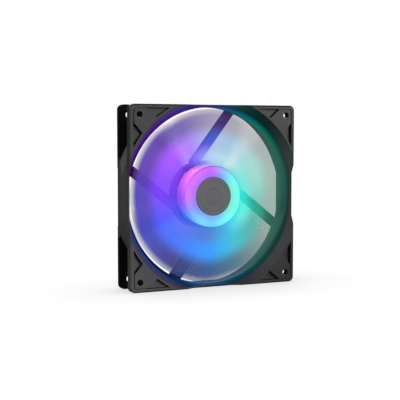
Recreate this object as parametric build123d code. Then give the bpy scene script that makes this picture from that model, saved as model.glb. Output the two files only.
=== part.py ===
from build123d import *
import math
import os

# ---------------------------------------------------------------------------
# 140 mm lit case fan.
# Built along a local axis w (w = +13.5 is the intake face, w = -13.5 the
# outlet face), with u to the right and v up.  place() turns it so that the
# intake looks along -Y, the fan stands on its bottom edge and +Z is up.
# The origin is the centre of the fan.
# All dimensions in millimetres.
# ---------------------------------------------------------------------------

# --- frame ---
WIDTH = 140.0            # frame width and height
DEPTH = 27.0             # frame depth along the axis
CORNER_R = 4.0           # rounded outer corners of the flanges
FRONT_FLANGE = 6.0       # thickness of the intake-side flange
REAR_FLANGE = 5.0        # thickness of the outlet-side flange
HOLE_SPACING = 124.5     # mounting hole square
HOLE_R = 2.4             # mounting hole radius
EDGE_CHAMFER = 0.8       # outer edge break

FLARE_R = 75.7           # intake flare at the front face
THROAT_R = 68.2          # duct throat
THROAT_W0 = 3.5          # throat starts here
THROAT_W1 = -6.0         # throat ends here
OUTLET_R = 70.3          # duct at the rear face
FLAT_DRAFT = 4.5         # draft of those flats towards the intake, degrees
FLAT_HALF = 68.3         # flats that leave a thin wall at mid-side
DUCT_OUT_FRONT = 76.0    # outer duct wall where it meets the front flange
DUCT_OUT_WAIST = 71.8    # outer duct wall at its waist
DUCT_OUT_REAR = 75.0     # outer duct wall where it meets the rear flange

RIM = 2.6                # flat border round the corner pads
RECESS_DEPTH = 4.2       # pockets beside each corner pad
RECESS_R = 77.2          # pocket wall that follows the flare
PAD_A = 56.9             # corner pad outline, where its slanted side leaves the rim
PAD_B = (60.3, 48.6)     # corner pad outline, inner point of the slanted side
GROOVE_W = 0.7           # line between pad and border
GROOVE_D = 0.9
NOTCH_FRONT = 3.8        # thin wall set back at mid-side, intake face
NOTCH_REAR = 1.4         # and at the outlet face

# --- struts and motor base ---
STRUT_ANGLE = 52.0       # outward direction of the first strut
STRUT_OFFSET = 20.9      # distance of a strut's centre line from the axis
STRUT_W = 6.8
CABLE_STRUT_W = 9.0
STRUT_FRONT = -8.0       # front edge of the struts
CUP_R = 27.0             # motor base cup
CUP_IN_R = 25.4
CUP_FRONT = -7.2
CUP_FLOOR = -11.0
CUP_BACK = -13.0
BOSS_R = 5.0             # boss that holds the bearing tube

# --- impeller ---
BLADES = 5
HUB_R = 23.8
HUB_WALL = 2.0
HUB_FRONT = 10.2
HUB_REAR = -6.2
TIP_R = 66.9
DISC_R = 15.0            # trim disc on the hub
BLADE_HALF = 36.4        # half of a blade's sweep at the root, degrees
BLADE_MID_W = 1.7        # blade mid height along the axis
BLADE_RISE = 6.6         # half of the blade's height along the axis
BLADE_CAMBER = 1.5

# --- motor ---
SHAFT_R = 1.5
BEARING_BORE_R = 1.53
TUBE_IN_R = 3.3
TUBE_R = 4.0
BUSH_R = 4.2
YOKE_R = 19.2
YOKE_T = 1.0
MAGNET_IN_R = 15.9
CORE_R = 15.5
CORE_W0, CORE_W1 = -2.0, 3.0
PCB_R = 25.0
PCB_W0, PCB_W1 = -8.6, -7.6
LED_COUNT = 12
LED_R = 22.6

os.makedirs("parts", exist_ok=True)
H = WIDTH / 2.0
WF = DEPTH / 2.0
WR = -DEPTH / 2.0


def ring(r_out, r_in, w0, w1):
    """Tube or disc along the axis between heights w0 and w1."""
    s = Pos(0, 0, w0) * extrude(Circle(r_out), amount=w1 - w0)
    if r_in > 0:
        s -= Pos(0, 0, w0 - 1) * extrude(Circle(r_in), amount=w1 - w0 + 2)
    return s


def slab(x0, x1, y0, y1, w0, w1):
    """Axis-aligned block."""
    return Pos((x0 + x1) / 2, (y0 + y1) / 2, (w0 + w1) / 2) * Box(x1 - x0, y1 - y0, w1 - w0)


def square(half, r, w0, w1):
    """Rounded square plate."""
    return Pos(0, 0, w0) * extrude(RectangleRounded(2 * half, 2 * half, r), amount=w1 - w0)


def revolved(points):
    """Solid of revolution about the axis from (radius, height) points."""
    pts = [(r, 0, w) for r, w in points]
    face = make_face(Polyline(*pts, close=True))
    return revolve(face, axis=Axis.Z, revolution_arc=360)


def poly(points, w0, w1):
    """Prism of a closed outline."""
    face = make_face(Polyline(*[(x, y, w0) for x, y in points], close=True))
    return extrude(face, amount=w1 - w0, dir=(0, 0, 1))


def place(s):
    return Rotation(90, 0, 0) * s


def chamfered_plate(w0, w1, front):
    """Flange plate whose outer edge on its exposed face is broken."""
    s = square(H, CORNER_R, w0, w1)
    face = s.faces().sort_by(Axis.Z)[-1 if front else 0]
    return chamfer(face.edges(), EDGE_CHAMFER)


# ---------------------------------------------------------------- frame ----
front_flange = chamfered_plate(WF - FRONT_FLANGE, WF, True)
rear_flange = chamfered_plate(WR, WR + REAR_FLANGE, False)
duct = revolved([
    (60, WF - FRONT_FLANGE + 1), (DUCT_OUT_FRONT, WF - FRONT_FLANGE + 1),
    (DUCT_OUT_FRONT, WF - FRONT_FLANGE - 1.2), (DUCT_OUT_WAIST, 2.0),
    (DUCT_OUT_WAIST, -3.0), (DUCT_OUT_REAR, WR + REAR_FLANGE + 1.6),
    (DUCT_OUT_REAR, WR + REAR_FLANGE - 1), (60, WR + REAR_FLANGE - 1)])
duct = duct & slab(-H, H, -H, H, WR, WF)
frame = front_flange + rear_flange + duct

bore = revolved([
    (0, WF + 1.0), (FLARE_R + 0.75, WF + 1.0), (THROAT_R, THROAT_W0),
    (THROAT_R, THROAT_W1), (OUTLET_R + 0.4, WR - 1.0), (0, WR - 1.0)])
flats = Pos(0, 0, WR - 2) * extrude(
    RectangleRounded(2 * FLAT_HALF, 2 * FLAT_HALF, 3.0), amount=-WR + 2)
flats += extrude(RectangleRounded(2 * FLAT_HALF, 2 * FLAT_HALF, 3.0), amount=WF + 1.2, taper=-FLAT_DRAFT)
bore = bore & flats
frame -= bore

# thin mid-side walls are set back, with slanted ends
for k in range(4):
    prof_f = make_face(Polyline((H - 4, -26.0, WF + 0.5), (H - 4, -17.0, WF - NOTCH_FRONT),
                                (H - 4, 17.0, WF - NOTCH_FRONT), (H - 4, 26.0, WF + 0.5), close=True))
    prof_r = make_face(Polyline((H - 4, -24.0, WR - 0.5), (H - 4, -21.5, WR + NOTCH_REAR),
                                (H - 4, 21.5, WR + NOTCH_REAR), (H - 4, 24.0, WR - 0.5), close=True))
    cut = extrude(prof_f, amount=6, dir=(1, 0, 0)) + extrude(prof_r, amount=6, dir=(1, 0, 0))
    frame -= Rotation(0, 0, 90 * k) * cut

# pockets beside each corner pad and the line round the pad
rim_in = H - RIM
arc_c = math.sqrt(RECESS_R ** 2 - rim_in ** 2)
a0 = math.atan2(PAD_B[1], PAD_B[0])
a1 = math.atan2(arc_c, rim_in)
arc_pts = [(RECESS_R * math.cos(a0 + (a1 - a0) * i / 6), RECESS_R * math.sin(a0 + (a1 - a0) * i / 6))
           for i in range(7)]
pocket_pts = [(rim_in, PAD_A)] + arc_pts[:-1] + [(rim_in, arc_c)]
pocket = poly(pocket_pts, WF - RECESS_DEPTH, WF + 1)
pocket += mirror(pocket, about=Plane(origin=(0, 0, 0), z_dir=(1, -1, 0)))
groove = square(rim_in, 2.4, WF - GROOVE_D, WF + 1) - square(rim_in - GROOVE_W, 1.7, WF - 3, WF + 2)
groove = groove & slab(PAD_A - 1.0, H, PAD_A - 1.0, H, WF - 3, WF + 2)
corner = pocket + groove
for k in range(4):
    frame -= Rotation(0, 0, 90 * k) * corner

# mounting holes through both flanges
hp = HOLE_SPACING / 2
for x in (-hp, hp):
    for y in (-hp, hp):
        frame -= Pos(x, y, WR - 1) * extrude(Circle(HOLE_R), amount=DEPTH + 2)

# struts, motor cup and bearing boss
cup = ring(CUP_R, 0, CUP_BACK, CUP_FRONT) - ring(CUP_IN_R, 0, CUP_FLOOR, CUP_FRONT + 1)
boss = ring(BOSS_R, 0, CUP_FLOOR - 0.5, PCB_W0)
strut_field = None
for k in range(4):
    w = CABLE_STRUT_W if k == 2 else STRUT_W
    s = slab(14, 72, STRUT_OFFSET - w / 2, STRUT_OFFSET + w / 2, WR, STRUT_FRONT)
    tops = s.edges().filter_by(Axis.X).group_by(Axis.Z)[-1]
    s = fillet(tops, 1.4)
    if k == 2:
        # channel for the leads, open to the rear
        s -= slab(16, 80, STRUT_OFFSET - w / 2 + 1.4, STRUT_OFFSET + w / 2 - 1.4, WR - 1, STRUT_FRONT - 1.4)
        # two slots through its roof
        for dv in (-1.5, 1.5):
            s -= slab(44, 60, STRUT_OFFSET + dv - 0.6, STRUT_OFFSET + dv + 0.6, WR - 1, STRUT_FRONT + 1)
    s = Rotation(0, 0, STRUT_ANGLE + 90 * k) * s
    strut_field = s if strut_field is None else strut_field + s
inside = (Pos(0, 0, WR - 2) * extrude(Circle(THROAT_R + 2.0), amount=DEPTH)) & slab(
    -FLAT_HALF - 0.8, FLAT_HALF + 0.8, -FLAT_HALF - 0.8, FLAT_HALF + 0.8, WR - 2, WF)
strut_field = (strut_field & inside) - ring(CUP_IN_R, 0, WR - 1, STRUT_FRONT + 2)
frame = frame + strut_field + cup + boss
frame -= ring(TUBE_R, 0, WR - 1, WF)                       # bearing tube seat
# lead exit: from the cup into the channel, and out through the rear flange
exit_cut = slab(8, 26, STRUT_OFFSET - 3.1, STRUT_OFFSET + 3.1, CUP_FLOOR, STRUT_FRONT - 1.4)
exit_rim = slab(60, 90, STRUT_OFFSET - 3.1, STRUT_OFFSET + 3.1, WR - 1, WR + 3.6)
exit_cut = Rotation(0, 0, STRUT_ANGLE + 180) * exit_cut
exit_rim = (Rotation(0, 0, STRUT_ANGLE + 180) * exit_rim) - ring(THROAT_R - 3, 0, -20, 20)
frame -= exit_cut
frame -= exit_rim

# ------------------------------------------------------------- impeller ----
hub = ring(HUB_R, 0, HUB_REAR, HUB_FRONT)
hub = fillet(hub.edges().group_by(Axis.Z)[-1], 1.6)
hub -= ring(HUB_R - HUB_WALL, 0, HUB_REAR - 1, HUB_FRONT - HUB_WALL)
hub -= ring(DISC_R, 0, HUB_FRONT - 0.5, HUB_FRONT + 1)
hub -= ring(BUSH_R, 0, HUB_REAR - 1, HUB_FRONT - 1.2)


def blade_section(r):
    """Closed blade outline on a plane at distance r from the axis."""
    q = (r - 18.0) / 50.0
    half_out = r * math.tan(math.radians(BLADE_HALF + 3.0 * q))     # leading side
    half_in = r * math.tan(math.radians(BLADE_HALF + 2.6 * q))      # trailing side
    thick = 1.9 - 0.7 * q
    rise = BLADE_RISE - 0.3 * q
    camber = BLADE_CAMBER + 0.6 * q
    n = 9
    top, low = [], []
    for i in range(n):
        f = -1 + 2 * i / (n - 1)
        t = f * (half_out if f > 0 else half_in)
        w = BLADE_MID_W + rise * f + camber * (1 - f * f) - 0.4
        th = 0.5 * thick * (0.35 + 0.65 * math.sqrt(max(0.0, 1 - f * f)))
        top.append((r, t, w + th))
        low.append((r, t, w - th))
    edges = [Spline(*top), Line(top[-1], low[-1]), Spline(*low[::-1]), Line(low[0], top[0])]
    return make_face(edges)


blade = loft([blade_section(r) for r in (15.5, 32.0, 50.0, 68.0)])
blade = blade & ring(TIP_R, HUB_R - 1.2, -12, 12)
impeller = hub
for k in range(BLADES):
    impeller = impeller + Rotation(0, 0, 90 + 360.0 / BLADES * k) * blade

disc = revolved([
    (0, HUB_FRONT - 0.5), (DISC_R - 0.05, HUB_FRONT - 0.5), (DISC_R - 0.05, HUB_FRONT + 0.1),
    (DISC_R - 0.5, HUB_FRONT + 0.4), (12.3, HUB_FRONT + 0.4), (12.1, HUB_FRONT + 0.2), (11.5, HUB_FRONT + 0.2),
    (11.3, HUB_FRONT + 0.4), (6.2, HUB_FRONT + 0.4), (6.0, HUB_FRONT + 0.2), (5.4, HUB_FRONT + 0.2),
    (5.2, HUB_FRONT + 0.4), (0, HUB_FRONT + 0.4)])

bush = ring(BUSH_R, SHAFT_R, 5.0, HUB_FRONT - 1.2)
shaft = ring(SHAFT_R, 0, -10.95, HUB_FRONT - 1.2) - ring(SHAFT_R + 1, 1.1, -10.5, -10.0)
shaft = chamfer(shaft.edges().group_by(Axis.Z)[0], 0.3)
yoke = ring(YOKE_R, BUSH_R, HUB_FRONT - HUB_WALL - YOKE_T, HUB_FRONT - HUB_WALL) + ring(
    YOKE_R, YOKE_R - YOKE_T, -5.5, HUB_FRONT - HUB_WALL)
magnet = ring(YOKE_R - YOKE_T, MAGNET_IN_R, -4.5, 5.5)

# ------------------------------------------------------------ bearing ----
tube = ring(TUBE_R, TUBE_IN_R, -12.3, 4.5)
sleeve = ring(TUBE_IN_R, BEARING_BORE_R, -9.5, 3.5)
oil_seal = ring(TUBE_IN_R, 1.62, 3.5, 4.3)
retainer = ring(TUBE_IN_R, 1.2, -10.45, -10.05)
thrust = ring(TUBE_IN_R, 0, -11.6, -11.0)
tube_cap = ring(TUBE_IN_R, 0, -12.3, -11.6) + ring(TUBE_R, 0, -12.9, -12.3)

# ------------------------------------------------------------- stator ----


def arms(width, r0, r1, w0, w1):
    out = None
    for k in range(4):
        s = Rotation(0, 0, 90 * k) * slab(r0, r1, -width / 2, width / 2, w0, w1)
        out = s if out is None else out + s
    return out


def sector(r_out, r_in, half_deg, w0, w1):
    a = math.radians(half_deg)
    m = r_out * 1.6
    wedge = poly([(0, 0), (m * math.cos(a), -m * math.sin(a)), (m * math.cos(a), m * math.sin(a))], w0 - 1, w1 + 1)
    return ring(r_out, r_in, w0, w1) & wedge


core = ring(6.4, TUBE_R, CORE_W0, CORE_W1) + arms(3.6, 5.5, 14.2, CORE_W0, CORE_W1)
for k in range(4):
    core = core + Rotation(0, 0, 90 * k) * sector(CORE_R, 13.7, 38.0, CORE_W0, CORE_W1)


def bobbin(w_face, sign):
    """Insulator over one face of the core: a spider with winding walls."""
    a, b = sorted((w_face, w_face + sign * 0.8))
    c, d = sorted((w_face, w_face + sign * 2.4))
    s = ring(7.0, TUBE_R, a, b) + arms(4.4, 5.5, 14.0, a, b)
    for k in range(4):
        s = s + Rotation(0, 0, 90 * k) * sector(13.6, 12.6, 22.0, c, d)
    s = s + ring(7.0, 6.2, c, d)
    return s


bob_front = bobbin(CORE_W1, 1)
bob_rear = bobbin(CORE_W0, -1)
coils = []
for k in range(4):
    c = slab(7.4, 11.5, -4.0, 4.0, CORE_W0 - 2.3, CORE_W1 + 2.3)
    c = fillet(c.edges().filter_by(Axis.X), 1.3)
    c -= slab(7, 13, -2.25, 2.25, CORE_W0 - 0.8, CORE_W1 + 0.8)
    coils.append(Rotation(0, 0, 90 * k) * c)
pins = [Rotation(0, 0, 45 + 90 * k) * (Pos(5.6, 0, 0) * ring(0.35, 0, -9.2, CORE_W0 - 0.8)) for k in range(4)]

# -------------------------------------------------------- electronics ----
pcb = ring(PCB_R, TUBE_R + 0.05, PCB_W0, PCB_W1)
for k in range(4):
    pcb -= Rotation(0, 0, 45 + 90 * k) * (Pos(5.6, 0, 0) * ring(0.45, 0, PCB_W0 - 1, PCB_W1 + 1))
leds = []
for k in range(LED_COUNT):
    body = slab(LED_R - 1.4, LED_R + 1.4, -1.75, 1.75, PCB_W1, PCB_W1 + 0.9)
    body -= Pos(LED_R, 0, 0) * ring(1.05, 0, PCB_W1 + 0.6, PCB_W1 + 2)
    leds.append(Rotation(0, 0, 15 + 360.0 / LED_COUNT * k) * body)
hall = Rotation(0, 0, 45) * slab(14.6, 16.2, -1.5, 1.5, PCB_W1, PCB_W1 + 1.2)
ic = Rotation(0, 0, 120) * slab(11.5, 16.5, -2.2, 2.2, PCB_W0 - 1.4, PCB_W0)
ic = chamfer(ic.edges().group_by(Axis.Z)[0], 0.3)
caps = []
for ang, r, n in ((20, 15, 2.2), (300, 16, 1.9), (335, 14, 1.6)):
    c = Rotation(0, 0, ang) * (Pos(r, 0, 0) * ring(n, 0, PCB_W0 - 2.0, PCB_W0))
    caps.append(c)
resistors = []
for ang, r in ((60, 12), (75, 12), (90, 20), (160, 12), (175, 19), (255, 12)):
    resistors.append(Rotation(0, 0, ang) * slab(r - 0.8, r + 0.8, -0.4, 0.4, PCB_W0 - 0.5, PCB_W0))
label = ring(20.0, 0, CUP_BACK - 0.15, CUP_BACK)

# -------------------------------------------------------------- export ----
nodes = {
    "frame": frame,
    "impeller": impeller,
    "hub_disc": disc,
    "rotor_yoke": yoke,
    "magnet_ring": magnet,
    "shaft_bush": bush,
    "shaft": shaft,
    "bearing_tube": tube,
    "sleeve_bearing": sleeve,
    "oil_seal_ring": oil_seal,
    "shaft_retainer": retainer,
    "thrust_pad": thrust,
    "tube_cap": tube_cap,
    "stator_core": core,
    "bobbin_front": bob_front,
    "bobbin_rear": bob_rear,
    "coil_windings": coils,
    "winding_pins": pins,
    "driver_pcb": pcb,
    "driver_ic": ic,
    "hall_sensor": hall,
    "pcb_capacitors": caps,
    "pcb_resistors": resistors,
    "leds": leds,
    "rear_label": label,
}
for name, shape in nodes.items():
    if isinstance(shape, list):
        solid = Compound(children=[place(s) for s in shape])
    else:
        solid = place(shape)
    export_step(solid, f"parts/{name}.step")
    print(name, round(solid.volume, 1))
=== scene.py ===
import bpy
import math
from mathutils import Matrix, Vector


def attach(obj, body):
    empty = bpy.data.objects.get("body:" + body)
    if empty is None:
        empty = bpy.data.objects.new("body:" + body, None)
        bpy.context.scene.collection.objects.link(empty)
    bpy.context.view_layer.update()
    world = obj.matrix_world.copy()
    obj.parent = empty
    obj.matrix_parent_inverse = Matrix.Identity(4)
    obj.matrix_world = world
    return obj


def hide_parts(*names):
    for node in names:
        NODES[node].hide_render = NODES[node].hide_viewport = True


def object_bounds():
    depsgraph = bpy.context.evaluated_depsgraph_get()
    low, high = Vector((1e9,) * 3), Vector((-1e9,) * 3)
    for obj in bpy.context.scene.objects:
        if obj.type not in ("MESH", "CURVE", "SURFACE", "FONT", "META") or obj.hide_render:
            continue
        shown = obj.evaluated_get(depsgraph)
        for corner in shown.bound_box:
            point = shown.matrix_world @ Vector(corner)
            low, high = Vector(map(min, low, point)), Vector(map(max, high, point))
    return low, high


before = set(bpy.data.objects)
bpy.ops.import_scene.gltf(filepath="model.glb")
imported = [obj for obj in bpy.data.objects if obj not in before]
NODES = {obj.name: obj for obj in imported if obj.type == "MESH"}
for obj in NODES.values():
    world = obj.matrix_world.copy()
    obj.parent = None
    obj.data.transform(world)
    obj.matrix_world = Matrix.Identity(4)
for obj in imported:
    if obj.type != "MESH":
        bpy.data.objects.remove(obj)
CAD_LO, CAD_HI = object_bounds()
MM = 0.001
scene = bpy.context.scene
scene.view_settings.view_transform = "Standard"
scene.view_settings.look = "None"


# ------------------------------------------------------------ node helpers
def lin(c):
    """sRGB 0-255 to linear."""
    out = []
    for v in c:
        v = max(0.0, v) / 255.0
        out.append(v / 12.92 if v <= 0.04045 else ((v + 0.055) / 1.055) ** 2.4)
    return out


class Mat:
    """A node material around one Principled shader."""

    def __init__(self, name, **consts):
        self.m = bpy.data.materials.new(name)
        self.m.use_nodes = True
        self.nt = self.m.node_tree
        self.nt.nodes.clear()
        self.out = self.nt.nodes.new("ShaderNodeOutputMaterial")
        self.bsdf = self.nt.nodes.new("ShaderNodeBsdfPrincipled")
        self.link(self.bsdf.outputs[0], self.out.inputs["Surface"])
        for k, v in consts.items():
            self.bsdf.inputs[k.replace("_", " ")].default_value = v
        self._polar = None

    def link(self, a, b):
        self.nt.links.new(a, b)

    def set(self, name, value):
        s = self.bsdf.inputs[name]
        if hasattr(value, "is_output"):
            self.link(value, s)
        else:
            s.default_value = value

    def plug(self, sock, v):
        if hasattr(v, "is_output"):
            self.link(v, sock)
        elif isinstance(v, (tuple, list)):
            sock.default_value = tuple(v) + ((1.0,) if len(v) == 3 and len(sock.default_value) == 4 else ())
        else:
            sock.default_value = v

    def math(self, op, a, b=None, c=None, clamp=False):
        n = self.nt.nodes.new("ShaderNodeMath")
        n.operation = op
        n.use_clamp = clamp
        for i, v in enumerate((a, b, c)):
            if v is not None:
                self.plug(n.inputs[i], v)
        return n.outputs[0]

    def span(self, v, a, b, lo=0.0, hi=1.0, smooth=True):
        n = self.nt.nodes.new("ShaderNodeMapRange")
        n.interpolation_type = "SMOOTHSTEP" if smooth else "LINEAR"
        n.clamp = True
        self.plug(n.inputs["Value"], v)
        for k, x in (("From Min", a), ("From Max", b), ("To Min", lo), ("To Max", hi)):
            n.inputs[k].default_value = x
        return n.outputs[0]

    def mix(self, fac, a, b, mode="MIX"):
        n = self.nt.nodes.new("ShaderNodeMix")
        n.data_type = "RGBA"
        n.blend_type = mode
        n.clamp_factor = True
        self.plug(n.inputs[0], fac)
        self.plug(n.inputs[6], a)
        self.plug(n.inputs[7], b)
        return n.outputs[2]

    def scale(self, col, k):
        n = self.nt.nodes.new("ShaderNodeVectorMath")
        n.operation = "SCALE"
        self.plug(n.inputs[0], col)
        self.plug(n.inputs["Scale"], k)
        return n.outputs[0]

    def ramp(self, fac, stops, interp="CARDINAL"):
        n = self.nt.nodes.new("ShaderNodeValToRGB")
        r = n.color_ramp
        r.interpolation = interp
        stops = sorted(stops, key=lambda s: s[0])
        while len(r.elements) < len(stops):
            r.elements.new(0.5)
        for e, (p, c) in zip(r.elements, stops):
            e.position = p
        for e, (p, c) in zip(r.elements, stops):
            e.color = (c, c, c, 1.0) if isinstance(c, float) else tuple(c) if len(c) == 4 else tuple(c) + (1.0,)
        self.link(fac, n.inputs[0]) if hasattr(fac, "is_output") else None
        return n.outputs[0]

    def coords(self, kind="Object"):
        n = self.nt.nodes.new("ShaderNodeTexCoord")
        return n.outputs[kind]

    def noise(self, scale, detail=3.0, rough=0.55, vec=None, out=0):
        n = self.nt.nodes.new("ShaderNodeTexNoise")
        n.inputs["Scale"].default_value = scale
        n.inputs["Detail"].default_value = detail
        n.inputs["Roughness"].default_value = rough
        self.link(vec if vec is not None else self.coords(), n.inputs["Vector"])
        return n.outputs[out]

    def bump(self, height, strength, distance, normal=None):
        n = self.nt.nodes.new("ShaderNodeBump")
        n.inputs["Strength"].default_value = strength
        n.inputs["Distance"].default_value = distance
        self.link(height, n.inputs["Height"])
        if normal is not None:
            self.link(normal, n.inputs["Normal"])
        return n.outputs[0]

    def polar(self):
        """Angle round the fan axis as 0-1 (0.5 is +X, rising towards +Z), radius and depth in mm, in the fan's fixed frame."""
        if self._polar is None:
            g = self.nt.nodes.new("ShaderNodeNewGeometry")
            s = self.nt.nodes.new("ShaderNodeSeparateXYZ")
            self.link(g.outputs["Position"], s.inputs[0])
            x, y, z = s.outputs
            a = self.math("MULTIPLY_ADD", self.math("ARCTAN2", z, x), 0.5 / math.pi, 0.5)
            r = self.math("SQRT", self.math("ADD", self.math("MULTIPLY", x, x), self.math("MULTIPLY", z, z)))
            self._polar = (a, self.math("MULTIPLY", r, 1000.0), self.math("MULTIPLY", y, 1000.0))
        return self._polar


def wheel(table, fix=None):
    """Stops of a colour ring: {degrees: sRGB} to ramp stops, closed at +-180."""
    stops = []
    for deg, c in table.items():
        v = lin(c)
        if fix:
            v = fix(deg, v)
        p = ((deg + 180.0) % 360.0) / 360.0
        stops.append((p, v))
    first = [s for s in stops if s[0] == 0.0]
    if first:
        stops.append((1.0, first[0][1]))
    return stops


# ------------------------------------------------------------- glow design
# How the twelve LEDs colour the translucent rotor and the black duct, by
# degrees anticlockwise from +X, seen from the intake side. Each ring holds a
# colour and, for the blades, how much of what is behind shows through.
SOFT_LIGHT = 0.018       # what the studio light adds on the frosted surface


def rotor_stop(c, t):
    v = lin(c)
    return [min(1.0, max(0.0, (x - t - (1 - t) * SOFT_LIGHT) / (1 - t))) for x in v] + [t]


def rotor_ring(table, through=None):
    """Ramp stops of one ring of the rotor; the alpha holds the see-through share."""
    out = []
    for deg, (c, t) in table.items():
        out.append((((deg + 180.0) % 360.0) / 360.0, rotor_stop(c, t)[:3] + [t if through is None else through.get(deg, t)]))
    out.append((1.0, [s for s in out if s[0] == 0.0][0][1]))
    return out


NEAR_HUB = {180: ((110, 62, 232), .05), 210: ((92, 104, 245), .06), 240: ((70, 110, 226), .02), 270: ((78, 136, 212), .02),
            300: ((46, 182, 224), .04), 330: ((98, 236, 226), .12), 0: ((96, 234, 221), .11), 30: ((134, 225, 220), .10),
            60: ((174, 220, 225), .20), 90: ((180, 202, 242), .20), 120: ((144, 124, 250), .10), 150: ((136, 66, 246), .05)}
MIDWAY = {180: ((114, 48, 250), .03), 210: ((66, 96, 254), .02), 240: ((54, 122, 246), .01), 270: ((44, 156, 252), .01),
          300: ((0, 186, 212), .02), 330: ((56, 180, 166), .09), 0: ((136, 202, 190), .22), 30: ((162, 217, 207), .30),
          60: ((148, 199, 222), .34), 90: ((172, 184, 231), .40), 120: ((172, 112, 252), .11), 150: ((154, 66, 252), .05)}
OUTER = {180: ((76, 0, 180), .02), 210: ((48, 68, 182), .03), 240: ((10, 58, 126), .02), 270: ((44, 96, 142), .03),
         300: ((88, 126, 136), .09), 330: ((147, 167, 161), .28), 0: ((158, 179, 173), .34), 30: ((162, 180, 176), .37),
         60: ((160, 170, 178), .38), 90: ((157, 146, 178), .28), 120: ((106, 50, 172), .08), 150: ((98, 10, 174), .03)}
TIPS = {180: ((210, 203, 215), .62), 210: ((206, 206, 214), .60), 240: ((160, 164, 184), .34), 270: ((176, 178, 184), .42),
        300: ((166, 169, 172), .36), 330: ((166, 171, 169), .36), 0: ((172, 179, 177), .40), 30: ((178, 185, 182), .44),
        60: ((188, 187, 190), .48), 90: ((186, 185, 192), .48), 120: ((210, 206, 216), .61), 150: ((211, 204, 216), .62)}
ROOT_THROUGH = {180: .78, 150: .78, 120: .55, 90: .10, 60: 0.0, 30: 0.0, 0: 0.0, 330: 0.0, 300: .02, 270: .02, 240: .06, 210: .50}

HUB_INNER = {180: (170, 117, 253), 210: (132, 140, 253), 240: (120, 172, 252), 270: (117, 181, 253), 300: (116, 212, 242),
             330: (116, 234, 208), 0: (115, 237, 210), 30: (120, 233, 208), 60: (124, 173, 248), 90: (170, 112, 251),
             120: (178, 110, 252), 150: (180, 112, 253)}
HUB_OUTER = {180: (207, 119, 255), 210: (137, 164, 252), 240: (123, 210, 255), 270: (115, 212, 254), 300: (111, 253, 254),
             330: (118, 254, 234), 0: (116, 253, 236), 30: (114, 255, 236), 60: (133, 207, 254), 90: (195, 119, 255),
             120: (208, 110, 255), 150: (215, 110, 254)}
HUB_SIDE = {180: (184, 98, 254), 210: (124, 150, 255), 240: (114, 198, 252), 270: (100, 186, 245), 300: (90, 210, 235),
            330: (100, 230, 215), 0: (104, 226, 205), 30: (110, 214, 214), 60: (120, 190, 235), 90: (225, 140, 250),
            120: (255, 128, 250), 150: (242, 122, 254)}
HUB_SIDE_REAR = {180: (172, 98, 252), 210: (112, 124, 250), 240: (110, 162, 244), 270: (90, 150, 220), 300: (65, 182, 226),
                 330: (94, 225, 215), 0: (98, 226, 214), 30: (115, 214, 210), 60: (140, 190, 220), 90: (214, 140, 250),
                 120: (240, 126, 254), 150: (226, 118, 254)}

# light that the rotor throws on the black duct: near the lip, on the wall, and on the struts and motor cup
LIP = {180: (66, 26, 122), 210: (44, 56, 120), 240: (34, 56, 98), 255: (32, 42, 60), 285: (36, 44, 58), 310: (58, 60, 62),
       330: (60, 62, 63), 0: (50, 58, 58), 25: (48, 57, 55), 44: (22, 41, 40), 60: (12, 39, 41), 75: (32, 58, 68),
       95: (46, 48, 100), 115: (58, 48, 130), 135: (70, 28, 130), 155: (70, 26, 118)}
WALL = {180: (84, 14, 142), 210: (14, 38, 114), 240: (14, 30, 80), 255: (22, 78, 150), 285: (10, 82, 112), 310: (16, 86, 82),
        340: (26, 78, 70), 0: (34, 88, 77), 25: (36, 100, 87), 44: (0, 116, 96), 60: (0, 112, 109), 75: (20, 88, 128),
        95: (66, 44, 142), 115: (90, 34, 168), 135: (86, 8, 158), 155: (80, 12, 136)}
STRUT = {180: (92, 40, 200), 210: (70, 90, 240), 240: (64, 122, 250), 270: (50, 140, 240), 300: (40, 150, 190), 330: (4, 84, 72),
         0: (4, 90, 78), 30: (30, 150, 140), 60: (100, 60, 230), 85: (116, 66, 250), 105: (104, 60, 244), 120: (104, 56, 236),
         150: (92, 36, 200)}


def less_soft(deg, v):
    return [max(0.0, c - 0.034) for c in v]


def dim(k):
    return lambda deg, v: [min(1.0, c * k) for c in v]


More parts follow.
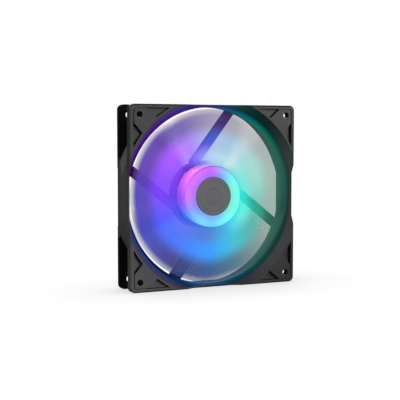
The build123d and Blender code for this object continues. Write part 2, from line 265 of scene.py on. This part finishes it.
# --------------------------------------------------------------- materials
def rotor_plastic():
    """Frosted, LED-lit plastic of the impeller."""
    m = Mat("frosted_rotor", Roughness=0.42, IOR=1.46)
    m.bsdf.inputs["Specular IOR Level"].default_value = 0.08
    a, r, y = m.polar()

    def rings(pairs):
        """Two chains, colour and see-through, blended outwards."""
        col = thr = None
        for stops, lo, hi in pairs:
            c = m.ramp(a, stops)
            t = c.node.outputs["Alpha"]
            if col is None:
                col, thr = c, t
            else:
                k = m.span(r, lo, hi)
                col = m.mix(k, col, c)
                thr = m.math("ADD", m.math("MULTIPLY", thr, m.math("SUBTRACT", 1.0, k)), m.math("MULTIPLY", t, k))
        return col, thr

    col, thr = rings([(rotor_ring(NEAR_HUB, ROOT_THROUGH), 0, 0), (rotor_ring(NEAR_HUB), 25.0, 31.0),
                      (rotor_ring(MIDWAY), 30.0, 42.0), (rotor_ring(OUTER), 43.5, 57.0), (rotor_ring(TIPS), 61.5, 67.0)])
    # hub: front annulus, rounded edge, side wall fading towards the rear
    face = m.mix(m.span(r, 16.2, 20.6), m.ramp(a, wheel(HUB_INNER, less_soft)), m.ramp(a, wheel(HUB_OUTER, less_soft)))
    side = m.mix(m.span(y, -7.0, 3.0), m.ramp(a, wheel(HUB_SIDE, less_soft)), m.ramp(a, wheel(HUB_SIDE_REAR, less_soft)))
    hub = m.mix(m.span(y, -9.9, -8.6), face, side)
    # painted shade: a dark line along the crease between the front annulus and the side wall, over part of the ring
    # only
    crease_shade = m.math("MULTIPLY", m.span(r, 22.5, 23.0), m.span(y, -9.3, -9.8))
    crease_shade = m.math("MULTIPLY", crease_shade, m.ramp(a, [(0.0, 0.0), (0.30, 0.0), (0.40, 0.0), (0.56, 0.75), (0.72, 0.75), (0.86, 0.45), (0.97, 0.0), (1.0, 0.0)]))
    hub = m.scale(hub, m.math("MULTIPLY_ADD", crease_shade, -0.6, 1.0))
    col = m.mix(m.span(r, 23.75, 24.2), hub, col)
    # cloudy variation of the frosted moulding
    cloud = m.noise(38.0, 3.0, 0.5)
    col = m.scale(col, m.span(cloud, 0.25, 0.75, 0.95, 1.04, smooth=False))
    m.set("Emission Color", col)
    m.set("Emission Strength", 1.0)
    # milky skin
    fine = m.noise(900.0, 2.0, 0.6)
    m.set("Base Color", m.ramp(fine, [(0.3, (0.036, 0.037, 0.040)), (0.7, (0.052, 0.053, 0.056))], "LINEAR"))
    m.set("Roughness", m.span(m.noise(260.0, 4.0, 0.6), 0.3, 0.7, 0.38, 0.5, smooth=False))
    m.set("Normal", m.bump(fine, 0.06, 0.00004))
    # a blade is two surfaces deep, and neighbours overlap with thinning edges
    ed = m.nt.nodes.new("ShaderNodeAttribute")
    ed.attribute_name = "edge"
    share = m.math("MULTIPLY_ADD", ed.outputs["Fac"], -0.5, 0.5)
    alpha = m.math("SUBTRACT", 1.0, m.math("POWER", m.math("MAXIMUM", thr, 0.01), share))
    at = m.nt.nodes.new("ShaderNodeAttribute")
    at.attribute_name = "hub"
    alpha = m.math("MAXIMUM", alpha, at.outputs["Fac"])
    m.set("Alpha", alpha)
    return m.m


def black_plastic():
    """Grained black plastic with painted light and shade: painted glow from the rotor inside the duct and on the
    struts, and painted light and shade across the frame.
    """
    m = Mat("black_grained", IOR=1.47)
    m.bsdf.inputs["Specular IOR Level"].default_value = 0.28
    a, r, y = m.polar()
    g = m.nt.nodes.new("ShaderNodeNewGeometry")
    nn = m.nt.nodes.new("ShaderNodeSeparateXYZ")
    m.link(g.outputs["True Normal"], nn.inputs[0])
    pp = m.nt.nodes.new("ShaderNodeSeparateXYZ")
    m.link(g.outputs["Position"], pp.inputs[0])
    nx, ny, nz = nn.outputs
    px, pz = m.math("MULTIPLY", pp.outputs[0], 1000.0), m.math("MULTIPLY", pp.outputs[2], 1000.0)
    inward = m.math("ADD", m.math("MULTIPLY", nx, px), m.math("MULTIPLY", nz, pz))
    inward = m.math("DIVIDE", m.math("MULTIPLY", inward, -1.0), r)
    facing = m.math("MULTIPLY", m.span(inward, 0.05, 0.4), m.span(r, 75.95, 75.3))
    reach = m.math("MAXIMUM", m.math("ABSOLUTE", px), m.math("ABSOLUTE", pz))

    grain = m.noise(1400.0, 2.0, 0.6)
    patch = m.noise(55.0, 3.0, 0.5)
    grey = m.span(m.math("ADD", m.math("MULTIPLY", grain, 0.6), m.math("MULTIPLY", patch, 0.4)), 0.35, 0.65, 0.88, 1.12, smooth=False)
    # painted light and shade across the front: lighter towards the upper right and lower left, darker towards the upper
    # left and darkest towards the lower right
    painted_light_gradient = m.math("ADD", m.math("MULTIPLY_ADD", pz, 0.0006, 1.0), m.math("MULTIPLY", px, m.math("MULTIPLY_ADD", pz, 0.000105, -0.00125)))
    front = m.scale((FRONT_GREY * 1.01, FRONT_GREY * 0.985, FRONT_GREY), painted_light_gradient)
    # pocket floors beside the pads lie deeper; painted light makes them a little lighter, against the shade they get
    base = m.mix(m.math("MULTIPLY", m.span(y, -9.6, -9.5), m.span(y, -8.9, -9.1)), front, m.scale(front, 1.35))
    # painted shade on the walls of the pockets, which show as dark lines
    pocket_wall_shade = m.math("MULTIPLY", m.span(ny, -0.6, -0.3), m.math("MULTIPLY", m.span(reach, 67.9, 67.6), m.span(y, -9.2, -9.5)))
    base = m.mix(pocket_wall_shade, base, (0.006, 0.006, 0.0062))
    # painted shade on the rear half, painted light on the outer duct wall and painted shade on the inner duct wall
    base = m.mix(m.span(y, -7.6, -7.3), base, (0.0065, 0.0063, 0.0065))
    # faces turned to the rear, right, top and bottom keep nearly the plain grey, outside the painted shade
    away = m.math("MULTIPLY", m.span(inward, -0.3, -0.6), m.math("MULTIPLY", m.span(px, -60.0, -20.0), m.span(r, 70.0, 71.0)))
    away = m.math("MAXIMUM", m.span(ny, 0.3, 0.6), away)
    base = m.mix(m.math("MULTIPLY", away, m.span(y, -7.6, -7.3)), base, (0.030, 0.0295, 0.030))
    # painted light: the outer duct wall is made lighter than the rest of the black plastic
    outer = m.math("MULTIPLY", m.span(inward, -0.4, -0.7), m.math("MULTIPLY", m.span(r, 76.4, 76.1), m.span(y, -7.6, -7.4)))
    base = m.mix(outer, base, (0.05, 0.049, 0.05))
    # painted shade: the inner duct wall is made nearly black, under its painted glow
    base = m.mix(facing, base, (0.0015, 0.0015, 0.0016))
    # painted shade on the broken outer edge of the front flange, where it faces away from the light
    turned = m.math("MULTIPLY", m.span(m.math("MAXIMUM", nx, m.math("ABSOLUTE", nz)), 0.3, 0.6), m.span(reach, 69.0, 69.15))
    turned = m.math("MULTIPLY", turned, m.span(ny, -0.3, -0.45))
    side = m.math("MAXIMUM", m.span(px, 68.4, 68.7), m.span(m.math("ABSOLUTE", pz), 68.8, 69.0))
    turned = m.math("MAXIMUM", turned, m.math("MULTIPLY", side, m.span(ny, -0.8, -0.95)))
    base = m.mix(turned, base, (0.002, 0.002, 0.002))
    m.set("Base Color", m.scale(base, grey))
    m.set("Specular IOR Level", m.math("MULTIPLY_ADD", m.math("MAXIMUM", facing, m.span(y, 6.5, 7.0)), -0.27, 0.28))
    m.set("Roughness", m.span(m.noise(700.0, 3.0, 0.6), 0.3, 0.7, 0.48, 0.6, smooth=False))
    m.set("Normal", m.bump(grain, 0.06, 0.00003))

    # thrown light, by depth along the duct
    depth = m.span(y, -13.5, 13.5, 0.0, 1.0, smooth=False)
    lip_k = m.ramp(depth, [(0.0, 1.0), (0.2, 1.0), (0.23, 0.75), (0.28, 0.0), (1.0, 0.0)], "LINEAR")
    wall_k = m.ramp(depth, [(0.0, 0.0), (0.23, 0.0), (0.28, 0.42), (0.35, 0.8), (0.42, 1.0), (0.54, 0.78), (0.65, 0.42), (0.8, 0.30), (1.0, 0.27)], "LINEAR")
    lip = m.mix(m.math("MULTIPLY", m.span(y, -9.0, -13.2), m.span(px, 0.0, -30.0)), m.ramp(a, wheel(LIP)), (0.052, 0.043, 0.062))
    glow = m.mix(1.0, m.mix(1.0, lip, lip_k, "MULTIPLY"), m.mix(1.0, m.ramp(a, wheel(WALL)), wall_k, "MULTIPLY"), "ADD")
    glow = m.mix(1.0, glow, m.scale((0.012, 0.003, 0.003), m.span(y, 1.0, 5.0)), "ADD")
    # struts and motor cup: their intake-side faces, strongest near the hub
    up = m.math("MULTIPLY", ny, -1.0)
    strut = m.math("MULTIPLY", m.span(up, 0.1, 0.9), m.math("MULTIPLY", m.span(r, 68.5, 67.5), m.span(y, 6.5, 7.1)))
    fall = m.ramp(m.span(r, 24.0, 68.0, 0.0, 1.0, smooth=False), [(0.0, 1.0), (0.3, 0.9), (0.55, 0.42), (0.8, 0.10), (1.0, 0.05)], "LINEAR")
    keep = m.ramp(a, [(0.0, 0.0), (0.05, 0.0), (0.11, 1.0), (0.19, 1.0), (0.26, 0.0), (1.0, 0.0)])
    fall = m.math("MAXIMUM", fall, m.math("MULTIPLY", keep, m.span(r, 62.0, 50.0)))
    strut_glow = m.mix(1.0, m.ramp(a, wheel(STRUT)), fall, "MULTIPLY")
    # painted shade: the glow is weaker on the rim of the motor cup
    cup = m.math("MULTIPLY", m.span(r, 28.2, 27.2), m.span(y, 6.8, 7.1))
    strut_glow = m.scale(strut_glow, m.math("SUBTRACT", 1.0, m.math("MULTIPLY", cup, 0.55)))
    total = m.mix(1.0, m.scale(glow, facing), m.scale(strut_glow, strut), "ADD")
    m.set("Emission Color", total)
    m.set("Emission Strength", 1.0)
    return m.m


FRONT_GREY = 0.031


def grey_disc():
    """Fine circular-brushed trim disc."""
    m = Mat("satin_disc", IOR=1.47)
    m.bsdf.inputs["Specular IOR Level"].default_value = 0.3
    v = m.coords()
    s = m.nt.nodes.new("ShaderNodeSeparateXYZ")
    m.link(v, s.inputs[0])
    rr = m.math("SQRT", m.math("ADD", m.math("MULTIPLY", s.outputs[0], s.outputs[0]), m.math("MULTIPLY", s.outputs[2], s.outputs[2])))
    rings = m.math("SINE", m.math("MULTIPLY", rr, 2 * math.pi / 0.0011))
    fine = m.noise(1200.0, 2.0, 0.5, vec=v)
    h = m.math("ADD", m.math("MULTIPLY", rings, 0.5), fine)
    base = m.ramp(m.span(h, -0.2, 1.2, 0.0, 1.0, smooth=False), [(0.0, (0.070, 0.070, 0.074)), (1.0, (0.092, 0.092, 0.096))], "LINEAR")
    m.set("Base Color", base)
    m.set("Roughness", m.span(fine, 0.3, 0.7, 0.4, 0.55, smooth=False))
    m.set("Normal", m.bump(h, 0.2, 0.00003))
    a, r, y = m.polar()
    # painted light: a faint tint of the LED glow, stronger towards the edge of the disc
    m.set("Emission Color", m.scale(m.ramp(a, wheel(HUB_INNER)), m.span(r, 5.0, 14.0, 0.006, 0.022)))
    m.set("Emission Strength", 1.0)
    return m.m


def metal(name, c, rough, scale=800.0, strength=0.15):
    m = Mat(name, Metallic=1.0)
    n = m.noise(scale, 3.0, 0.6)
    m.set("Base Color", m.ramp(n, [(0.3, tuple(x * 0.85 for x in c)), (0.7, c)], "LINEAR"))
    m.set("Roughness", m.span(n, 0.3, 0.7, rough - 0.06, rough + 0.08, smooth=False))
    m.set("Normal", m.bump(n, strength, 0.00003))
    return m.m


def plastic(name, c, rough, scale=900.0, strength=0.15, glow=None):
    m = Mat(name, IOR=1.47)
    n = m.noise(scale, 3.0, 0.6)
    m.set("Base Color", m.ramp(n, [(0.3, tuple(x * 0.82 for x in c)), (0.7, c)], "LINEAR"))
    m.set("Roughness", m.span(n, 0.3, 0.7, rough - 0.06, rough + 0.08, smooth=False))
    m.set("Normal", m.bump(n, strength, 0.00003))
    if glow is not None:
        a, r, y = m.polar()
        m.set("Emission Color", m.ramp(a, wheel(glow, dim(0.2))))
        m.set("Emission Strength", 1.0)
    return m.m


def windings():
    m = Mat("copper_wire", Metallic=1.0)
    w = m.nt.nodes.new("ShaderNodeTexWave")
    w.wave_type = "BANDS"
    w.bands_direction = "Y"
    w.inputs["Scale"].default_value = 900.0
    w.inputs["Distortion"].default_value = 0.6
    m.link(m.coords(), w.inputs["Vector"])
    m.set("Base Color", m.ramp(w.outputs["Fac"], [(0.0, (0.35, 0.12, 0.04)), (0.6, (0.83, 0.38, 0.17))], "LINEAR"))
    m.set("Roughness", m.span(w.outputs["Fac"], 0.0, 1.0, 0.45, 0.28))
    m.set("Normal", m.bump(w.outputs["Fac"], 0.6, 0.0001))
    return m.m


def board():
    m = Mat("circuit_board", IOR=1.5)
    n = m.nt.nodes.new("ShaderNodeTexVoronoi")
    n.feature = "DISTANCE_TO_EDGE"
    n.inputs["Scale"].default_value = 420.0
    m.link(m.coords(), n.inputs["Vector"])
    f = m.span(n.outputs["Distance"], 0.03, 0.08)
    m.set("Base Color", m.mix(f, (0.03, 0.075, 0.05), (0.012, 0.035, 0.024)))
    m.set("Roughness", m.span(f, 0.0, 1.0, 0.35, 0.48))
    m.set("Normal", m.bump(f, 0.3, 0.00004))
    return m.m


def label_foil():
    """Blank satin label with a printed border ring."""
    m = Mat("label_foil", IOR=1.46)
    a, r, y = m.polar()
    n = m.noise(500.0, 3.0, 0.55)
    ring = m.math("MULTIPLY", m.span(r, 17.9, 18.0), m.span(r, 18.5, 18.4))
    base = m.mix(ring, m.ramp(n, [(0.3, (0.30, 0.30, 0.31)), (0.7, (0.36, 0.36, 0.37))], "LINEAR"), (0.03, 0.03, 0.032))
    m.set("Base Color", base)
    m.set("Roughness", m.span(n, 0.3, 0.7, 0.38, 0.5, smooth=False))
    m.set("Normal", m.bump(n, 0.12, 0.00003))
    return m.m


BLACK = black_plastic()
ROTOR = rotor_plastic()
LOOKS = {
    "frame": BLACK,
    "impeller": ROTOR,
    "hub_disc": grey_disc(),
    "rotor_yoke": metal("yoke_steel_look", (0.50, 0.50, 0.52), 0.34),
    "magnet_ring": plastic("ferrite", (0.045, 0.042, 0.042), 0.55),
    "shaft_bush": metal("brass_look", (0.78, 0.57, 0.28), 0.3),
    "shaft": metal("ground_steel", (0.66, 0.66, 0.67), 0.2, 1500.0, 0.08),
    "bearing_tube": metal("tube_brass", (0.72, 0.52, 0.27), 0.32),
    "sleeve_bearing": metal("sintered", (0.52, 0.38, 0.24), 0.5, 2200.0, 0.5),
    "oil_seal_ring": plastic("seal_nylon", (0.55, 0.54, 0.50), 0.45),
    "shaft_retainer": plastic("retainer_nylon", (0.55, 0.54, 0.50), 0.45),
    "thrust_pad": plastic("thrust_nylon", (0.60, 0.58, 0.52), 0.4),
    "tube_cap": plastic("cap_nylon", (0.10, 0.10, 0.105), 0.45),
    "stator_core": metal("lamination_steel", (0.42, 0.42, 0.44), 0.42, 1800.0, 0.3),
    "bobbin_front": plastic("bobbin_look", (0.62, 0.60, 0.54), 0.45),
    "bobbin_rear": plastic("bobbin_look_rear", (0.62, 0.60, 0.54), 0.45),
    "coil_windings": windings(),
    "winding_pins": metal("tinned_pin", (0.72, 0.72, 0.70), 0.3),
    "driver_pcb": board(),
    "driver_ic": plastic("chip_epoxy", (0.025, 0.025, 0.027), 0.5),
    "hall_sensor": plastic("hall_epoxy", (0.022, 0.022, 0.024), 0.5),
    "pcb_capacitors": metal("can_aluminium", (0.70, 0.70, 0.72), 0.35),
    "pcb_resistors": plastic("resistor_ceramic", (0.05, 0.05, 0.06), 0.4),
    "leds": plastic("led_lens", (0.30, 0.30, 0.29), 0.3, glow=HUB_OUTER),
    "rear_label": label_foil(),
}
for name, mat in LOOKS.items():
    o = NODES[name]
    if not o.data.materials:
        o.data.materials.append(mat)
    for i in range(len(o.data.materials)):
        o.data.materials[i] = mat


# ---------------------------------------------------------------- impeller
HUB_R, HUB_IN, HUB_FRONT, HUB_REAR = 23.8, 21.8, 10.2, -6.2
DISC_R, BUSH_R, TIP_R = 15.0, 4.2, 66.9
BLADES = 5


def spot(u, v, w):
    """Fan coordinates (right, up, towards the intake) in mm to the shared frame."""
    return (u * MM, -w * MM, v * MM)


def arc(cx, cy, r, a0, a1, n):
    return [(cx + r * math.cos(math.radians(a0 + (a1 - a0) * i / n)), cy + r * math.sin(math.radians(a0 + (a1 - a0) * i / n)))
            for i in range(n + 1)]


def hub_profile():
    p = [(0.0, HUB_FRONT - 0.5), (DISC_R, HUB_FRONT - 0.5)]
    p += arc(DISC_R + 0.2, HUB_FRONT - 0.2, 0.2, 180, 90, 3)
    p += [(18.0, HUB_FRONT), (20.0, HUB_FRONT)]
    p += arc(HUB_R - 1.6, HUB_FRONT - 1.6, 1.6, 90, 0, 8)
    p += [(HUB_R, 5.0), (HUB_R, 2.0), (HUB_R, -1.0), (HUB_R, -4.0)]
    p += arc(HUB_R - 0.3, HUB_REAR + 0.3, 0.3, 0, -90, 3)
    p += arc(HUB_IN + 0.3, HUB_REAR + 0.3, 0.3, 270, 180, 3)
    p += [(HUB_IN, 7.4)] + arc(HUB_IN - 0.8, 7.4, 0.8, 0, 90, 3)[1:] + [(BUSH_R, 8.2), (BUSH_R, 9.0), (0.0, 9.0)]
    return p


LAP = 12.0               # degrees by which each frosted blade reaches over its neighbour


def blade_point(R, f, side, root):
    """A point of the blade skin at radius R; f runs from the trailing edge -1 to the leading edge 1."""
    phi = math.radians(45 * f)
    for _ in range(12):
        q = (R * math.cos(phi) - 18.0) / 50.0
        edge = math.radians(36.4 + LAP + (3.0 if f > 0 else 2.6) * q)
        phi = math.atan(f * math.tan(edge))
    q = (R * math.cos(phi) - 18.0) / 50.0
    thick = 1.9 - 0.7 * q
    rise = 6.6 - 0.3 * q
    camber = 1.5 + 0.6 * q
    w = 1.7 + rise * f + camber * (1 - f * f) - 0.4
    body = max(0.0, 1 - abs(f) ** 5) ** 0.5
    th = 0.5 * thick * (0.30 + 0.70 * math.sqrt(max(0.0, 1 - f * f))) * body
    th += 0.9 * math.exp(-max(0.0, root) / 0.9) * body
    return R * math.cos(phi), R * math.sin(phi), w + side * th


def build_impeller():
    verts, faces, hub_flag, edge_flag = [], [], [], []
    seg = 160
    prof = hub_profile()
    rows = []
    for r, w in prof:
        if r < 1e-6:
            rows.append([len(verts)])
            verts.append(spot(0, 0, w))
            hub_flag.append(1.0)
            edge_flag.append(0.0)
        else:
            rows.append(list(range(len(verts), len(verts) + seg)))
            for k in range(seg):
                a = 2 * math.pi * k / seg
                verts.append(spot(r * math.cos(a), r * math.sin(a), w))
                hub_flag.append(1.0)
                edge_flag.append(0.0)
    for i in range(len(rows) - 1):
        a, b = rows[i], rows[i + 1]
        for k in range(seg):
            k2 = (k + 1) % seg
            if len(a) == 1:
                faces.append((a[0], b[k], b[k2]))
            elif len(b) == 1:
                faces.append((a[k], b[0], a[k2]))
            else:
                faces.append((a[k], b[k], b[k2], a[k2]))
    nf, nr = 40, 40
    fs = [-math.cos(math.pi * j / nf) for j in range(nf + 1)]
    r0 = HUB_R - 0.12
    for b in range(BLADES):
        turn = math.radians(90.0 + 360.0 / BLADES * b)
        ca, sa = math.cos(turn), math.sin(turn)
        loops = []
        for i in range(nr + 1):
            s = i / nr
            R = r0 + (TIP_R - r0) * (1 - (1 - s) ** 1.15)
            squeeze = 1.0
            if i == nr:
                squeeze = 0.55
            loop = []
            for side, seq in ((1, fs), (-1, fs[::-1][1:-1])):
                for f in seq:
                    x, t, w = blade_point(R, f, side, R - HUB_R)
                    if squeeze < 1.0:
                        _, _, wm = blade_point(R, f, 0, R - HUB_R)
                        w = wm + (w - wm) * squeeze
                    loop.append(len(verts))
                    verts.append(spot(x * ca - t * sa, x * sa + t * ca, w))
                    hub_flag.append(0.0)
                    k = min(1.0, max(0.0, (abs(math.degrees(math.atan2(t, x))) - 36.0 + LAP) / (2 * LAP)))
                    edge_flag.append(k * k * (3 - 2 * k))
            loops.append(loop)
        n = len(loops[0])
        for i in range(nr):
            for k in range(n):
                k2 = (k + 1) % n
                faces.append((loops[i][k], loops[i][k2], loops[i + 1][k2], loops[i + 1][k]))
        for loop, flip in ((loops[0], False), (loops[-1], True)):
            # cap as a strip between the two skins
            top, low = loop[:nf + 1], [loop[0]] + loop[nf + 1:][::-1] + [loop[nf]]
            for j in range(nf):
                quad = [top[j], top[j + 1], low[j + 1], low[j]]
                quad = [q for i, q in enumerate(quad) if q not in quad[:i]]
                faces.append(tuple(quad if flip else quad[::-1]))
    me = bpy.data.meshes.new("impeller_shell")
    me.from_pydata(verts, [], faces)
    at = me.attributes.new("hub", "FLOAT", "POINT")
    at.data.foreach_set("value", hub_flag)
    at = me.attributes.new("edge", "FLOAT", "POINT")
    at.data.foreach_set("value", edge_flag)
    me.validate()
    me.update()
    import bmesh
    bm = bmesh.new()
    bm.from_mesh(me)
    bmesh.ops.recalc_face_normals(bm, faces=bm.faces)
    bm.to_mesh(me)
    bm.free()
    for p in me.polygons:
        p.use_smooth = True
    me.materials.append(ROTOR)
    o = bpy.data.objects.new("impeller_shell", me)
    scene.collection.objects.link(o)
    mod = o.modifiers.new("edges", "EDGE_SPLIT")
    mod.split_angle = math.radians(50)
    mod.use_edge_sharp = False
    return o


rotor = build_impeller()
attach(rotor, "rotor")
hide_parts("impeller")


# ------------------------------------------------------------------ camera
cam_data = bpy.data.cameras.new("camera")
cam = bpy.data.objects.new("camera", cam_data)
scene.collection.objects.link(cam)
cam.location = (-0.3342, -0.6755, 0.0492)
cam.rotation_euler = (math.radians(90 - 4.0), 0.0, -math.radians(25.87))
cam_data.sensor_width = 36.0
cam_data.lens = 87.42
cam_data.clip_start = 0.01
cam_data.clip_end = 50
scene.camera = cam


# ------------------------------------------------------------------- stage
def floor():
    me = bpy.data.meshes.new("floor")
    n, half = 24, 6.0
    vs = [(-half + 2 * half * i / n, -half + 2 * half * j / n, CAD_LO.z - 0.0002) for j in range(n + 1) for i in range(n + 1)]
    fsq = [(j * (n + 1) + i, j * (n + 1) + i + 1, (j + 1) * (n + 1) + i + 1, (j + 1) * (n + 1) + i) for j in range(n) for i in range(n)]
    me.from_pydata(vs, [], fsq)
    o = bpy.data.objects.new("floor", me)
    scene.collection.objects.link(o)
    m = bpy.data.materials.new("pale_floor_painted_shadow")
    m.use_nodes = True
    nt = m.node_tree
    nt.nodes.clear()
    out = nt.nodes.new("ShaderNodeOutputMaterial")
    # the floor glows white, and its contact shadow is painted by lowering the glow where ambient occlusion finds the
    # fan close by
    em = nt.nodes.new("ShaderNodeEmission")
    ao = nt.nodes.new("ShaderNodeAmbientOcclusion")
    ao.samples = 16
    ao.inputs["Distance"].default_value = 0.075
    mr = nt.nodes.new("ShaderNodeMapRange")
    mr.inputs["From Min"].default_value = 0.45
    mr.inputs["From Max"].default_value = 1.0
    mr.inputs["To Min"].default_value = 0.74
    mr.inputs["To Max"].default_value = 1.0
    nt.links.new(ao.outputs["AO"], mr.inputs["Value"])
    nt.links.new(mr.outputs[0], em.inputs["Strength"])
    nt.links.new(em.outputs[0], out.inputs["Surface"])
    me.materials.append(m)
    o.visible_diffuse = False
    o.visible_glossy = False
    o.visible_shadow = False
    return o


floor()

world = bpy.data.worlds.new("studio")
scene.world = world
world.use_nodes = True
wn = world.node_tree
wn.nodes.clear()
w_out = wn.nodes.new("ShaderNodeOutputWorld")
w_mix = wn.nodes.new("ShaderNodeMixShader")
w_lp = wn.nodes.new("ShaderNodeLightPath")
w_amb = wn.nodes.new("ShaderNodeBackground")
w_cam = wn.nodes.new("ShaderNodeBackground")
w_amb.inputs[0].default_value = (1, 1, 1, 1)
w_amb.inputs[1].default_value = 0.12
w_cam.inputs[0].default_value = (1, 1, 1, 1)
w_cam.inputs[1].default_value = 1.0
wn.links.new(w_lp.outputs["Is Camera Ray"], w_mix.inputs[0])
wn.links.new(w_amb.outputs[0], w_mix.inputs[1])
wn.links.new(w_cam.outputs[0], w_mix.inputs[2])
wn.links.new(w_mix.outputs[0], w_out.inputs[0])


def softbox(name, loc, size, watts, aim=(0, 0, 0), color=(1, 1, 1)):
    d = bpy.data.lights.new(name, "AREA")
    d.shape = "RECTANGLE"
    d.size, d.size_y = size
    d.energy = watts
    d.color = color
    o = bpy.data.objects.new(name, d)
    scene.collection.objects.link(o)
    o.location = loc
    from mathutils import Vector
    o.rotation_mode = "QUATERNION"
    o.rotation_quaternion = (Vector(aim) - Vector(loc)).to_track_quat("-Z", "Y")
    o.visible_camera = False
    return o


softbox("front", (0.2, -1.55, 0.35), (0.7, 0.6), 20.0)
softbox("key_left", (-1.2, -0.5, 0.5), (0.6, 0.6), 11.0)
softbox("fill_right", (0.9, -0.9, 0.5), (0.6, 0.6), 4.0)
softbox("back", (0.4, 1.2, 0.7), (0.8, 0.6), 14.0)
